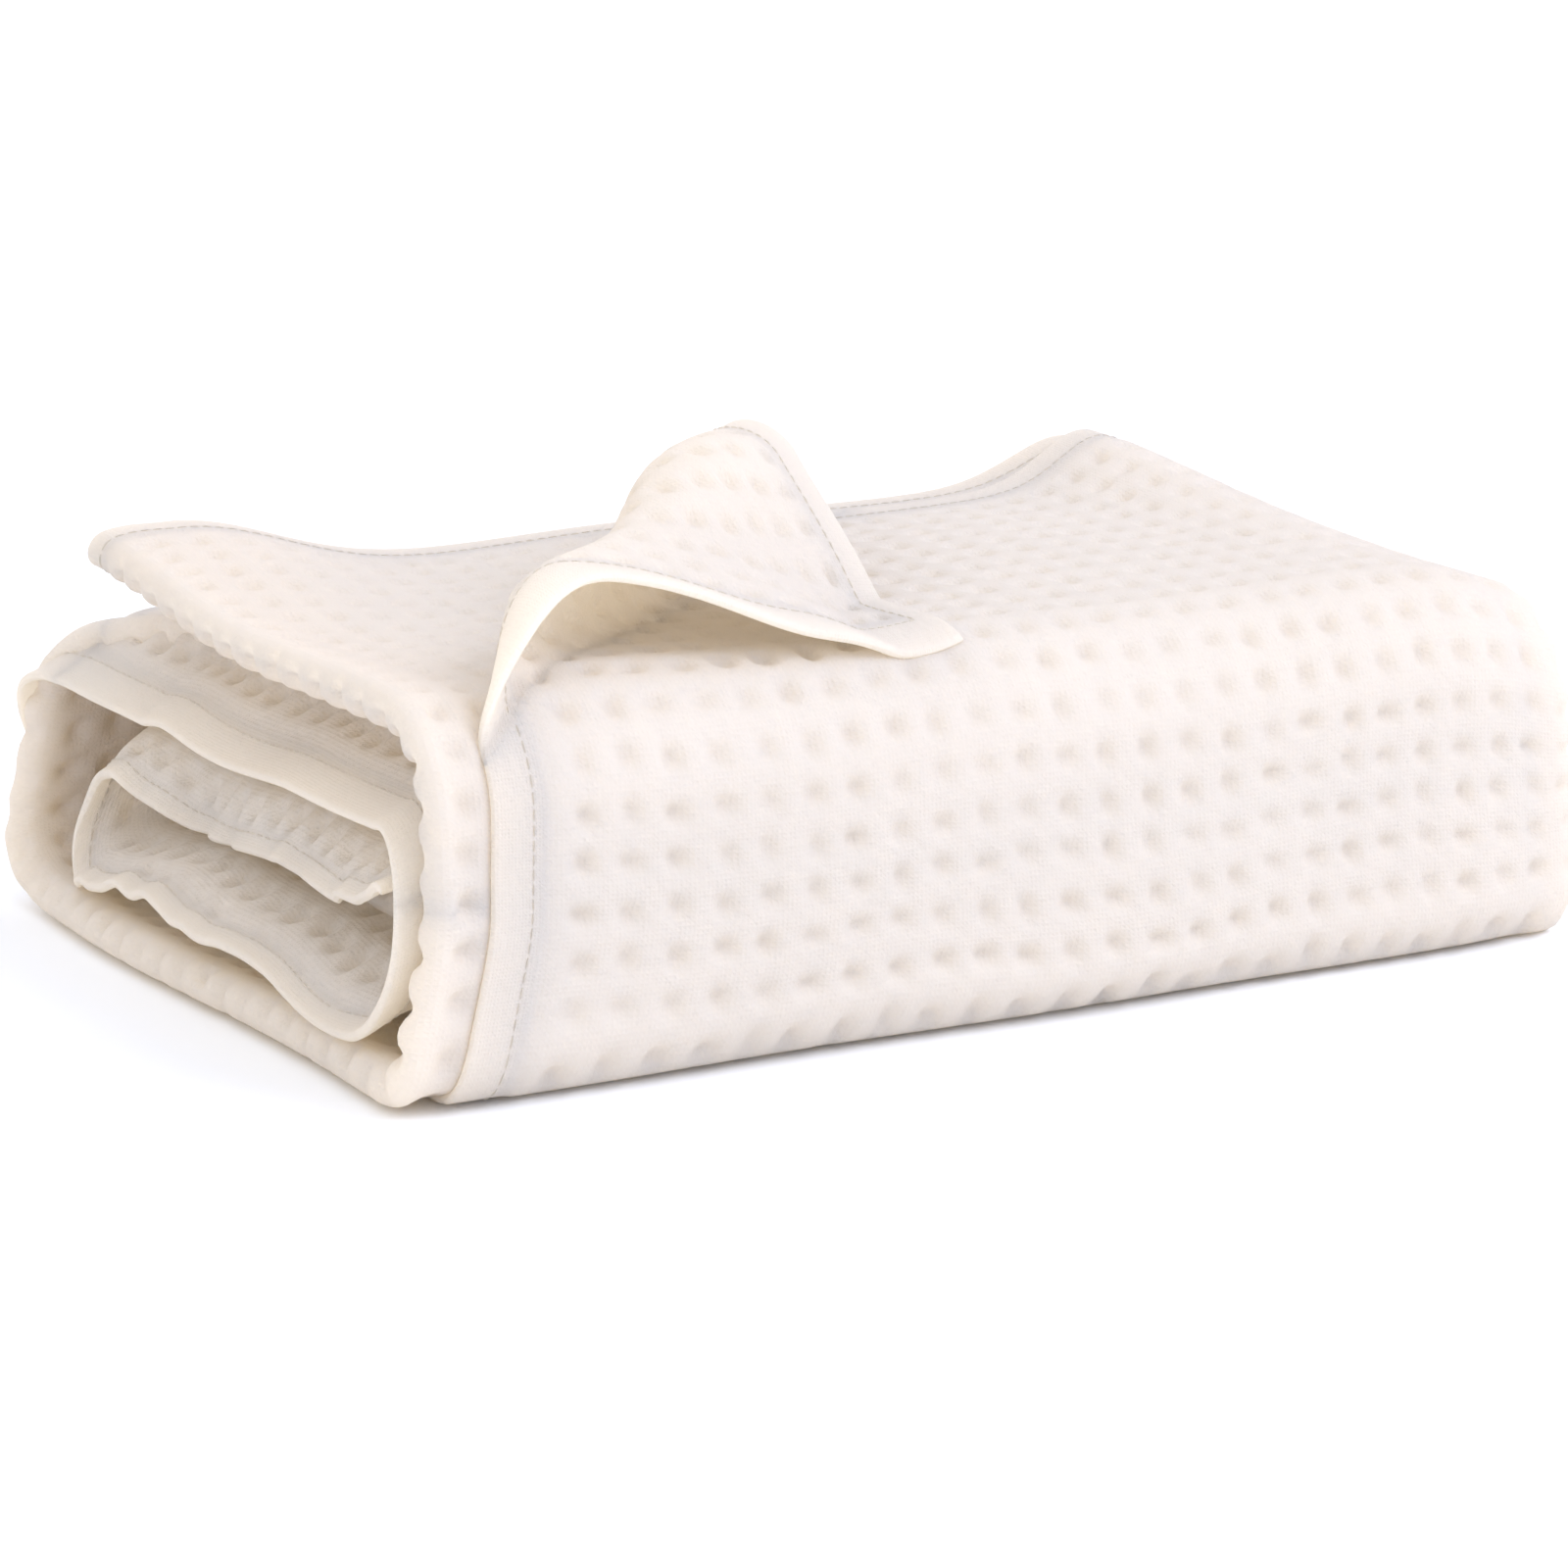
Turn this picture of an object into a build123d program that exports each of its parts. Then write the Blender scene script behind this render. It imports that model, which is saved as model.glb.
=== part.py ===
from build123d import *
import math
import os

# A waffle-weave throw, folded in three across its width, rolled flat, with its outer corner turned over.
# Frame: X along the folds, -Y is the smooth front, the rolled end is at -X, Z up from the resting face.

# Driving dimensions, in mm
LENGTH = 423.0  # a 1270 mm wide throw folded in three
DEPTH = 322.0
LEAF_TOP = 124.0  # height of the top leaf's upper face
PLY = 4.0  # one ply of waffle weave
PACK = 3 * PLY  # the three plies of the folded width
HEM = 16.0  # width of the plain hem
HEM_INSET = 17.0  # the outer ply stops this far inside the left end
UNDER_END = 262.0  # the under plies' outer end, as a distance behind the front face
OUTER_END = 223.0  # the outer ply's outer end, which lags behind the under plies'
BACK_RADIUS = 30.0  # centreline radius of the two bends of the back
ROLL_TOP = 104.0  # upper face of the inner roll
ROLL_BOTTOM = 27.0  # lower face of the inner roll
ROLL_FRONT = 13.0  # front face of the inner roll, behind the front panel
ROLL_RADIUS = 20.0  # centreline radius of the roll's front bends
ROLL_BACK = 250.0  # where the inner roll's back bend starts
CORE_TOP = 78.0  # upper face of the innermost pass
CORE_END = 26.0  # the throw's inner end
CLEARANCE = 0.4  # between pieces that move apart
CREASE_GAP = 1.4  # from the crease to the flat part of the outer ply, along X
FRONT_RADIUS = 14.0  # centreline radius of the front's lower bend
FOLD_BAR = 12.0  # radius of the bunched cloth in the fold that the top leaf opens on
CREASE_START = (HEM_INSET, 8.0)  # where the turned corner's crease starts, from the left end and the front
CREASE_ANGLE = math.radians(41)  # between the crease and X
CORNER_FOOT = 139.5  # how far along the crease the corner's tip lies
CORNER_REACH = 118.0  # how far the tip lies from the crease
CURL = [(1.5, 2.4), (4.0, 32.0), (22.0, 45.0), (CORNER_REACH, 3.0)]  # the curl, across the crease
THREAD = (1.2, 0.6)  # width and height of a row of hem stitches
THREAD_SETBACK = 3.0  # stitches to the hem's inner edge

# Derived
RIGHT = LENGTH
LEAF_PIVOT = (FOLD_BAR, LEAF_TOP - FOLD_BAR - CLEARANCE)
PANEL_HEAD = LEAF_PIVOT[1] - FOLD_BAR
LEAF_START = LEAF_PIVOT[0] + FOLD_BAR + CLEARANCE
HALF_PACK = PACK / 2
FRONT_LINE = HALF_PACK + FRONT_RADIUS
BACK_LINE = DEPTH - HALF_PACK - BACK_RADIUS
WALL_FOOT = HALF_PACK + BACK_RADIUS
WALL_HEAD = ROLL_TOP - HALF_PACK - BACK_RADIUS
ROLL_FRONT_LINE = ROLL_FRONT + HALF_PACK + ROLL_RADIUS
ROLL_WALL_FOOT = ROLL_BOTTOM + HALF_PACK + ROLL_RADIUS
ROLL_WALL_HEAD = ROLL_TOP - HALF_PACK - ROLL_RADIUS
ROLL_BACK_RADIUS = (CORE_TOP - ROLL_BOTTOM - PACK) / 2
ROLL_BACK_HEIGHT = (CORE_TOP + ROLL_BOTTOM) / 2


def place(x, b):
    """A point measured from the left end and the front face, in the part's own X and Y."""
    return (x - LENGTH / 2, b - DEPTH / 2)


def slab(x0, x1, b0, b1, z0, z1):
    """A straight run of cloth between two lengths, two depths and two heights."""
    x, y = place((x0 + x1) / 2, (b0 + b1) / 2)
    return Pos(x, y, (z0 + z1) / 2) * Box(x1 - x0, b1 - b0, z1 - z0)


def section(x):
    """The plane across the folds at a distance from the left end."""
    return Plane.YZ.offset(x - LENGTH / 2)


def bend(x0, x1, centre, radii, first, turn):
    """A run of cloth round a fold: part of a ring, from an angle, in the section's plane."""
    inner, outer = radii
    y = centre[0] - DEPTH / 2
    around = [math.radians(first + turn * step) for step in (0, 0.5, 1)]
    rim = [[(y + r * math.cos(a), centre[1] + r * math.sin(a)) for a in around] for r in (inner, outer)]
    outline = [
        ThreePointArc(*rim[0]),
        Line(rim[0][2], rim[1][2]),
        ThreePointArc(*rim[1][::-1]),
        Line(rim[1][0], rim[0][0]),
    ]
    return extrude(section(x0) * make_face(outline), amount=x1 - x0)


def bar(x0, x1, centre, radius):
    """The round bunch of cloth in a fold that opens."""
    disc = Pos(centre[0] - DEPTH / 2, centre[1]) * Circle(radius)
    return extrude(section(x0) * disc, amount=x1 - x0)


def plan(points, z0, z1):
    """A flat run of cloth with an outline seen from above."""
    outline = Polyline(*[place(*p) for p in points], close=True)
    return extrude(Plane.XY.offset(z0) * make_face(outline), amount=z1 - z0)


def on_crease(b, gap=0.0):
    """The point of the turned corner's crease at a depth, or a little to the right of it."""
    return (CREASE_START[0] + (b - CREASE_START[1]) / math.tan(CREASE_ANGLE) + gap, b)


def leaf():
    """The top leaf: two plies, and the outer ply with its corner cut away along the crease."""
    z_mid = LEAF_TOP - PLY
    z_low = LEAF_TOP - PACK
    outer_hem = OUTER_END - HEM
    under_hem = UNDER_END - HEM
    crease = [on_crease(b, CREASE_GAP) for b in (LEAF_START, outer_hem, OUTER_END)]
    outer = [crease[0], (RIGHT, LEAF_START), (RIGHT, outer_hem), crease[1]]
    end_hem = [crease[1], (RIGHT, outer_hem), (RIGHT, OUTER_END), crease[2]]
    stitches = (outer_hem + THREAD_SETBACK, outer_hem + THREAD_SETBACK + THREAD[0])
    return {
        "leaf_under_plies": slab(0, RIGHT, LEAF_START, under_hem, z_low, z_mid),
        "leaf_under_end_hem": slab(0, RIGHT, under_hem, UNDER_END, z_low, z_mid),
        "leaf_outer_ply": plan(outer, z_mid, LEAF_TOP),
        "leaf_outer_end_hem": plan(end_hem, z_mid, LEAF_TOP),
        "leaf_hem_thread": slab(crease[2][0], RIGHT, *stitches, LEAF_TOP, LEAF_TOP + THREAD[1]),
    }


def turned_corner():
    """The outer ply's corner, turned over its crease in a loose curl that stands open at the front."""
    along = Vector(math.cos(CREASE_ANGLE), math.sin(CREASE_ANGLE), 0)
    across = Vector(along.Y, -along.X, 0)
    start = Vector(*place(*CREASE_START), LEAF_TOP)
    end = Vector(*place(*on_crease(OUTER_END)), LEAF_TOP)
    tip = start + along * CORNER_FOOT + across * CORNER_REACH
    height = max(z for _, z in CURL) + PLY
    triangle = extrude(make_face(Polyline(start, end, tip, close=True)), amount=height)
    curl_plane = Plane(origin=end, x_dir=across, z_dir=along * -1)
    names = ["corner_riser", "corner_crown", "corner_slope"]
    made = {}
    for name, quad in zip(names, mitred_quads(CURL, PLY)):
        run = extrude(curl_plane * make_face(Polyline(*quad, close=True)), amount=(end - start).length)
        made[name] = run & triangle
    return made


def mitred_quads(points, thickness):
    """The straight plates, with mitred ends, of a bent strip whose centreline is given."""
    line = [Vector(*p) for p in points]
    steps = [(b - a).normalized() for a, b in zip(line, line[1:])]
    normals = [Vector(-s.Y, s.X) for s in steps]
    pairs = zip([normals[0], *normals], [*normals, normals[-1]])
    mitres = [(a + b) * (1 / (1 + a.dot(b))) for a, b in pairs]
    upper = [p + m * (thickness / 2) for p, m in zip(line, mitres)]
    lower = [p - m * (thickness / 2) for p, m in zip(line, mitres)]
    return [(upper[i], upper[i + 1], lower[i + 1], lower[i]) for i in range(len(steps))]


def straight_run(name, run, hem_run):
    """One straight run of the outer wrap: two under plies, the outer ply and its plain side hem."""
    hem_end = HEM_INSET + HEM
    return {
        f"{name}_under_plies": slab(0, RIGHT, *run),
        f"{name}_outer_ply": slab(hem_end, RIGHT, *hem_run),
        f"{name}_side_hem": slab(HEM_INSET, hem_end, *hem_run),
    }


def curved_run(name, centre, radius, first):
    """One quarter turn of the outer wrap, in the same three pieces."""
    hem_end = HEM_INSET + HEM
    inner, outer = (radius - HALF_PACK, radius + HALF_PACK)
    return {
        f"{name}_under_fold": bend(0, RIGHT, centre, (inner, outer - PLY), first, 90),
        f"{name}_outer_fold": bend(hem_end, RIGHT, centre, (outer - PLY, outer), first, 90),
        f"{name}_fold_hem": bend(HEM_INSET, hem_end, centre, (outer - PLY, outer), first, 90),
    }


def wrap():
    """The outer wrap: the front with its hem and its two folds, the bottom and the back."""
    stitches = HEM_INSET + HEM - THREAD_SETBACK
    width, height = THREAD
    front = (FRONT_LINE, PANEL_HEAD)
    bottom = (FRONT_LINE, BACK_LINE)
    back = (WALL_FOOT, WALL_HEAD)
    made = {
        **straight_run("front", (PLY, PACK, *front), (0, PLY, *front)),
        **straight_run("bottom", (*bottom, PLY, PACK), (*bottom, 0, PLY)),
        **straight_run("back", (DEPTH - PACK, DEPTH - PLY, *back), (DEPTH - PLY, DEPTH, *back)),
        **curved_run("front_lower", (FRONT_LINE, FRONT_LINE), FRONT_RADIUS, 180),
        **curved_run("back_lower", (BACK_LINE, WALL_FOOT), BACK_RADIUS, -90),
        **curved_run("back_upper", (BACK_LINE, WALL_HEAD), BACK_RADIUS, 0),
        "front_upper_fold": bar(0, RIGHT, LEAF_PIVOT, FOLD_BAR),
    }
    # The stitches lie in the hem, level with its face.
    made["front_side_hem"] = slab(HEM_INSET, HEM_INSET + HEM, height, PLY, *front)
    made["front_hem_thread"] = slab(stitches, stitches + width, 0, height, *front)
    return made


def inner_roll():
    """The inner roll, from the back's upper fold to the throw's inner end, with its plain side hem."""
    core_low = CORE_TOP - PACK
    stitches = (HEM - THREAD_SETBACK, HEM - THREAD_SETBACK + THREAD[0])
    packs = {
        "roll_top_pass": slab(HEM, RIGHT, ROLL_FRONT_LINE, BACK_LINE, ROLL_TOP - PACK, ROLL_TOP),
        "roll_front_pass": slab(HEM, RIGHT, ROLL_FRONT, ROLL_FRONT + PACK, ROLL_WALL_FOOT, ROLL_WALL_HEAD),
        "roll_bottom_pass": slab(HEM, RIGHT, ROLL_FRONT_LINE, ROLL_BACK, ROLL_BOTTOM, ROLL_BOTTOM + PACK),
        "roll_core_pass": slab(HEM, RIGHT, CORE_END + HEM, ROLL_BACK, core_low, CORE_TOP),
        "core_end_hem": slab(HEM, RIGHT, CORE_END, CORE_END + HEM, core_low, CORE_TOP),
    }
    hems = {
        "roll_top_hem": slab(0, HEM, ROLL_FRONT_LINE, BACK_LINE, ROLL_TOP - PLY, ROLL_TOP),
        "roll_front_hem": slab(0, HEM, ROLL_FRONT, ROLL_FRONT + PLY, ROLL_WALL_FOOT, ROLL_WALL_HEAD),
        "roll_bottom_hem": slab(0, HEM, ROLL_FRONT_LINE, ROLL_BACK, ROLL_BOTTOM, ROLL_BOTTOM + PLY),
        "roll_core_hem": slab(0, HEM, CORE_END, ROLL_BACK, CORE_TOP - PLY, CORE_TOP),
        "roll_hem_thread": slab(*stitches, ROLL_FRONT_LINE, BACK_LINE, ROLL_TOP, ROLL_TOP + THREAD[1]),
    }
    folds = (
        ("roll_upper", (ROLL_FRONT_LINE, ROLL_WALL_HEAD), ROLL_RADIUS, 90, 90),
        ("roll_lower", (ROLL_FRONT_LINE, ROLL_WALL_FOOT), ROLL_RADIUS, 180, 90),
        ("roll_back", (ROLL_BACK, ROLL_BACK_HEIGHT), ROLL_BACK_RADIUS, -90, 180),
    )
    for name, centre, radius, first, turn in folds:
        outer = radius + HALF_PACK
        packs[f"{name}_fold"] = bend(HEM, RIGHT, centre, (radius - HALF_PACK, outer), first, turn)
        hems[f"{name}_fold_hem"] = bend(0, HEM, centre, (outer - PLY, outer), first, turn)
    return packs | hems


def build():
    """Every node of the throw, by name."""
    return wrap() | inner_roll() | leaf() | turned_corner()


os.makedirs("parts", exist_ok=True)
for node, solid in build().items():
    export_step(solid, f"parts/{node}.step")
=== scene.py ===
import math

import bpy
import numpy as np
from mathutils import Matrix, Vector


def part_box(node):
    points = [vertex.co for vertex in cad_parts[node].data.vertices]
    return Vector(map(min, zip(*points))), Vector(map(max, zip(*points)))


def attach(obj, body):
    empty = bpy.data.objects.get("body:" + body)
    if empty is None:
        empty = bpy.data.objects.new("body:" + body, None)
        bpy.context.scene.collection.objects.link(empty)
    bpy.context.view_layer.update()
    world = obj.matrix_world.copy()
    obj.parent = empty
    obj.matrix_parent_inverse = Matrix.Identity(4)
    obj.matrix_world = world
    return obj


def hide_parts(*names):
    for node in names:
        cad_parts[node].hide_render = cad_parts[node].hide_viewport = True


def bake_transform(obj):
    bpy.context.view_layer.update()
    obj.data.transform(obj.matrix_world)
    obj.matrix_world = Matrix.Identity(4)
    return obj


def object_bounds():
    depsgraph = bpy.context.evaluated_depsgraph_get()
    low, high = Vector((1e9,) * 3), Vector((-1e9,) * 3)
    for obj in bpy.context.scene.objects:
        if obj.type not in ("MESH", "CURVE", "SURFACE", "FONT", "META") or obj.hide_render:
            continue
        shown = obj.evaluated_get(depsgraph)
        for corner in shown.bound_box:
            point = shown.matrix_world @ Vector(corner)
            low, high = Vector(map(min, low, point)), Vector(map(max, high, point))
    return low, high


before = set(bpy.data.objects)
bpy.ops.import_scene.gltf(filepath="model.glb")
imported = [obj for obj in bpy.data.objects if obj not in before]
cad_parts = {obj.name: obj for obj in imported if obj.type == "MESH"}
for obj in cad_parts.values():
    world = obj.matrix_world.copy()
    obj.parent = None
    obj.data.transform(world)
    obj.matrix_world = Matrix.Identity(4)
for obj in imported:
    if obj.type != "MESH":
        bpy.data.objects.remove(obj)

# A waffle-weave throw, folded in three across its width, rolled flat, with its outer corner turned over.
# Lengths are in millimetres until a mesh is made. X runs from the throw's left end, B from its front face
# backwards, Z up from the floor. V runs along the cloth from its outer end, and U across it.

CAD_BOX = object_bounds()
MM = 0.001
SIZE = [(high - low) / MM for low, high in zip(*CAD_BOX)]
LEFT = CAD_BOX[0].x / MM
FRONT = CAD_BOX[0].y / MM


def node_box(node):
    """A CAD node's corners as (X, B, Z), in millimetres."""
    return [(c.x / MM - LEFT, c.y / MM - FRONT, c.z / MM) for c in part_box(node)]


LENGTH, DEPTH = SIZE[0], SIZE[1]
LEAF_TOP = node_box("leaf_outer_ply")[1][2]
UNDER_END = node_box("leaf_under_end_hem")[1][1]
OUTER_END = node_box("leaf_outer_end_hem")[1][1]
HEM_INSET = node_box("front_side_hem")[0][0]
HEM = node_box("front_side_hem")[1][0] - HEM_INSET
ROLL_TOP = node_box("roll_top_pass")[1][2]
ROLL_BOTTOM = node_box("roll_bottom_pass")[0][2]
CORE_TOP = node_box("roll_core_pass")[1][2]
CORE_END = node_box("core_end_hem")[0][1]

# The cloth
CELL_U, CELL_V = 15.4, 14.9  # one waffle cell
FIRST_PIT = 30.0  # the outer ply's first column of pits, from the side hem's edge
UNDER_PIT = 10.0  # the under plies' first column of pits, from their left fold
STRAY = 0.26  # how far a pit's middle may stray, as a share of half a cell
PLY_STEP = 4.1  # between the middles of neighbouring plies
RIDGE = 2.0  # ridge above the ply's middle
PIT = -1.4  # bottom of a pit
HEM_HALF = 1.6  # half thickness of the plain hem
EDGE_ROUND = 1.6  # rounding of a free edge
STITCH_LINE = HEM - 3.0  # from the hem's edge

# Spacing of the cloth's grid lines
FINE = 1.72  # where the weave shows
MEDIUM = 2.3  # in the margins inside the roll
COARSE = 9.0  # where nothing is seen

# The roll's section
HALF_PACK = 6.4  # half the thickness of three plies
OUTER_RADIUS = 32.0  # the bend from the front to the top leaf
FRONT_BULGE = 5.0  # how far the front's foot stands out
ROLL_FRONT = 19.0  # B of the roll's front pass

# The side edges
ROLL_EDGE = -7.0  # where the outer ply's hem would lie in the roll if it didn't droop
UNDER_EDGE = 1.5  # X of the under plies' left fold on the wrap
UNDER_EDGE_ROLL = 36.0  # and in the roll
FOLD_RADIUS = 3.2  # of the right fold
LEFT_FOLD_RADIUS = 4.3
RIGHT_HEM_INSET = 13.0  # from the right fold to the under plies' side hem
JOIN = 18.0  # how far the outer ply's piece runs on round the right fold
FOLD_U = LENGTH - HEM_INSET  # the right fold, from the side hem's edge
SKEW = 34.0  # how much further the outer ply's end reaches at the right fold than at the left

# The turned corner
CREASE_START = (HEM_INSET, 3.0)
CREASE_ANGLE = math.radians(41.0)
REST_GAP = 3.8  # between the leaf and the corner that rests on it

# The stitches of the hems
STITCH_PITCH, STITCH_LENGTH, STITCH_RINGS = 4.4, 3.3, 6
THREAD_RADIUS = 0.3

# How the throw lies
CORNER_LIFT = 18.0  # how high the top leaf's back corners curl up
FOOT_SKEW = 13.0  # how far the front's left foot lies out to the left
END_SAG = 11.0  # how far the right end's upper edge sinks


def smooth(x, low=0.0, high=1.0):
    """0 below low, 1 above high, and a smooth step between."""
    t = np.clip((np.asarray(x, float) - low) / (high - low), 0, 1)
    return t * t * (3 - 2 * t)


def soft_max(a, b, width=1.5):
    """The larger of two heights, with the corner between them rounded."""
    return 0.5 * (a + b + np.sqrt((a - b) ** 2 + width**2))


# ---------------------------------------------------------------- the roll's route


def rounded_route(corners, step=1.0, blur=4):
    """Points along straight runs joined by arcs. Each corner is (B, Z, radius)."""
    pts = [np.array(c[:2], float) for c in corners]
    line = [pts[0]]
    for before, here, after, corner in zip(pts, pts[1:], pts[2:], corners[1:]):
        a = (before - here) / np.linalg.norm(before - here)
        b = (after - here) / np.linalg.norm(after - here)
        half = math.acos(np.clip(a @ b, -1, 1)) / 2
        room = 0.49 * min(np.linalg.norm(before - here), np.linalg.norm(after - here))
        reach = min(corner[2] / math.tan(half), room)
        radius = reach * math.tan(half)
        centre = here + (a + b) / np.linalg.norm(a + b) * math.hypot(reach, radius)
        start, end = here + a * reach - centre, here + b * reach - centre
        turn = math.pi - 2 * half
        for f in np.linspace(0, 1, max(3, int(turn * radius / step))):
            swung = start * math.sin((1 - f) * turn) + end * math.sin(f * turn)
            line.append(centre + swung / math.sin(turn))
    line.append(pts[-1])
    line = np.array(line)
    along = np.concatenate([[0], np.cumsum(np.linalg.norm(np.diff(line, axis=0), axis=1))])
    even = np.arange(0, along[-1], step)
    even_line = np.stack([np.interp(even, along, line[:, k]) for k in (0, 1)], 1)
    kernel = np.exp(-0.5 * (np.arange(-3 * blur, 3 * blur + 1) / blur) ** 2)
    kernel /= kernel.sum()
    reach = 3 * blur
    first = even_line[0] + (even_line[0] - even_line[1]) * np.arange(reach, 0, -1)[:, None]
    last = even_line[-1] + (even_line[-1] - even_line[-2]) * np.arange(1, reach + 1)[:, None]
    padded = np.concatenate([first, even_line, last])
    return np.stack([np.convolve(padded[:, k], kernel, "valid") for k in (0, 1)], 1)


# The middle of the three plies, from the top leaf's free end round the wrap and into the roll
ROUTE = rounded_route(
    [
        (UNDER_END, LEAF_TOP - HALF_PACK + 1, 0),
        (HALF_PACK, LEAF_TOP - HALF_PACK, OUTER_RADIUS),
        (HALF_PACK - FRONT_BULGE, HALF_PACK, 13),
        (DEPTH - HALF_PACK, HALF_PACK, 34),
        (DEPTH - HALF_PACK, ROLL_TOP - 12, 26),
        (250, ROLL_TOP - 1, 140),
        (ROLL_FRONT, ROLL_TOP - 8, 22),
        (ROLL_FRONT, ROLL_BOTTOM + 9, 19),
        (100, ROLL_BOTTOM + 13, 150),
        (180, ROLL_BOTTOM + 17, 150),
        (268, ROLL_BOTTOM + 12, 17),
        (266, CORE_TOP - 7, 16),
        (150, CORE_TOP - 3, 200),
        (CORE_END, CORE_TOP - 11, 0),
    ]
)
STEPS = np.concatenate([[0], np.cumsum(np.linalg.norm(np.diff(ROUTE, axis=0), axis=1))])
TANGENTS = np.gradient(ROUTE, STEPS, axis=0)
TANGENTS /= np.linalg.norm(TANGENTS, axis=1)[:, None]
V_END = STEPS[-1]


def on_route(v):
    """(B, Z) of the pack's middle, and the outward direction there, as two pairs of arrays."""
    b, z = (np.interp(v, STEPS, ROUTE[:, k]) for k in (0, 1))
    tb, tz = (np.interp(v, STEPS, TANGENTS[:, k]) for k in (0, 1))
    length = np.hypot(tb, tz)
    return (b, z), (tz / length, -tb / length)


def nearest(b, z, after=0.0):
    """V of the route's point nearest to (B, Z), no sooner than after."""
    far = np.hypot(ROUTE[:, 0] - b, ROUTE[:, 1] - z) + 1e6 * (STEPS < after)
    return STEPS[int(far.argmin())]


# V of the places where the cloth's parts meet or change
V_FRONT_TOP = nearest(HALF_PACK, LEAF_TOP - 40)
V_FRONT_LOW = nearest(34, HALF_PACK)
V_WALL = nearest(DEPTH - HALF_PACK, 30)
V_SHOULDER = nearest(DEPTH - 30, 92, V_WALL)
V_ROLL_FRONT = nearest(ROLL_FRONT, ROLL_TOP - 30, V_SHOULDER)
V_ROLL_LOW = nearest(60, ROLL_BOTTOM + 10, V_ROLL_FRONT)
V_ROLL_BACK = nearest(275, ROLL_BOTTOM + 26, V_ROLL_LOW)
V_LEAF_BLEND = nearest(HALF_PACK, 62)


# ---------------------------------------------------------------- the weave


def chance(i, j, seed):
    """A fixed number from 0 to 1 for each cell."""
    raw = np.sin(i * 12.9898 + j * 78.233 + seed * 37.719) * 43758.5453
    return raw - np.floor(raw)


def wander(u, v, seed):
    """A slow uneven shift, from -1 to 1, that keeps the cells from being a perfect grid."""
    a = np.sin(u / 31.0 + 1.7 * seed + 1.3 * np.sin(v / 47.0 + seed))
    b = np.sin(v / 27.0 - 2.1 * seed + 1.1 * np.sin(u / 39.0 - seed))
    return 0.5 * (a + b)


def waffle(u, v, seed):
    """Height of a waffle face above the ply's middle: wide soft ridges round uneven pits."""
    cu, cv = u / CELL_U, v / CELL_V
    i, j = np.floor(cu), np.floor(cv)
    du = 2 * (cu - i) - 1 + STRAY * (chance(i, j, seed) - 0.5)
    dv = 2 * (cv - j) - 1 + STRAY * (chance(i, j, seed + 1) - 0.5)
    stretch = 0.84 + 0.36 * chance(i, j, seed + 2)
    rho = ((np.abs(du) * stretch) ** 2.6 + (np.abs(dv) / stretch) ** 2.6) ** (1 / 2.6)
    depth = (RIDGE - PIT) * (0.52 + 0.32 * chance(i, j, seed + 3))
    return RIDGE - 0.3 * (1 - smooth(rho, 0.5, 1)) - depth * (1 - smooth(rho, 0.08, 0.7))


def weave(u, v, plain, hem_depth, relief, seed):
    """Heights of a ply's two faces above its middle. plain is 1 in the hems and 0 in the waffle."""
    face = waffle(u, v, seed)
    back = waffle(u + CELL_U / 2, v + CELL_V / 2, seed + 5)
    calm = 0.6 * RIDGE
    face = calm + (face - calm) * relief
    back = calm + (back - calm) * relief
    pull = np.exp(-((hem_depth - STITCH_LINE) ** 2))
    hem = HEM_HALF * (1 - 0.1 * pull)
    return face * (1 - plain) + hem * plain, -back * (1 - plain) - hem * plain


def rounded_edge(distance):
    """Share of the full thickness at a distance from a free edge."""
    t = np.clip(distance / EDGE_ROUND, 0, 1)
    return np.sqrt(np.maximum(1 - (1 - t) ** 2, 0.02))


# ---------------------------------------------------------------- how the whole throw lies


def lift(x, b):
    """How far the top leaf stands above a flat one: its two back corners curl up."""
    left = np.exp(-(((x - 30) / 50) ** 2)) * smooth(b, 125, 262)
    right = np.exp(-(((x - 388) / 34) ** 2)) * smooth(b, 70, 250)
    return CORNER_LIFT * left + CORNER_LIFT * right - 1.5 * np.sin(x / 70) * smooth(b, 40, 120)


def settle(p, on_leaf):
    """Moves points as soft cloth lies: slow unevenness, a skewed left foot, a sunken right end."""
    x, b, z = p[..., 0], p[..., 1], p[..., 2]
    free = smooth(z, 2, 40)  # 0 where the throw rests on the floor
    dx = np.sin(b / 43 + z / 21) + 0.6 * np.sin(z / 13 + b / 71 + 1)
    dx = dx - FOOT_SKEW * smooth(z, 62, 4) * smooth(x, 260, 0) - 5 * smooth(b, 285, 316) * smooth(x, 130, 0)
    db = np.sin(x / 61 + z / 29) + 0.7 * np.sin(x / 23 - z / 17 + 2)
    dz = (1.1 * np.sin(x / 53 + b / 67 + 0.6) + 0.6 * np.sin(x / 24 - b / 37)) * free
    end = smooth(x, LENGTH - 52, LENGTH + 4) ** 1.5
    dz = dz - END_SAG * end * smooth(z, 20, 115)
    db = db + end * (7 * smooth(b, 60, 0) - 6 * smooth(b, DEPTH - 70, DEPTH)) * smooth(z, -30, 40)
    dz = dz + lift(x, b) * on_leaf
    return p + np.stack([dx, db, dz], -1)


# ---------------------------------------------------------------- the plies


def fold_profile(a, radius, half_gap):
    """Distance in from a side fold's outermost point, and height above its middle, at arc length a."""
    quarter = radius * math.pi / 2
    beyond = np.maximum(np.abs(a) - quarter, 0)
    angle = np.clip(a / radius, -math.pi / 2, math.pi / 2)
    inward = radius * (1 - np.cos(angle)) + beyond
    settled = smooth(beyond, 0, 22)
    height = np.sin(angle) * radius * (1 - settled) + np.sign(a) * half_gap * settled
    return inward, height


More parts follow.
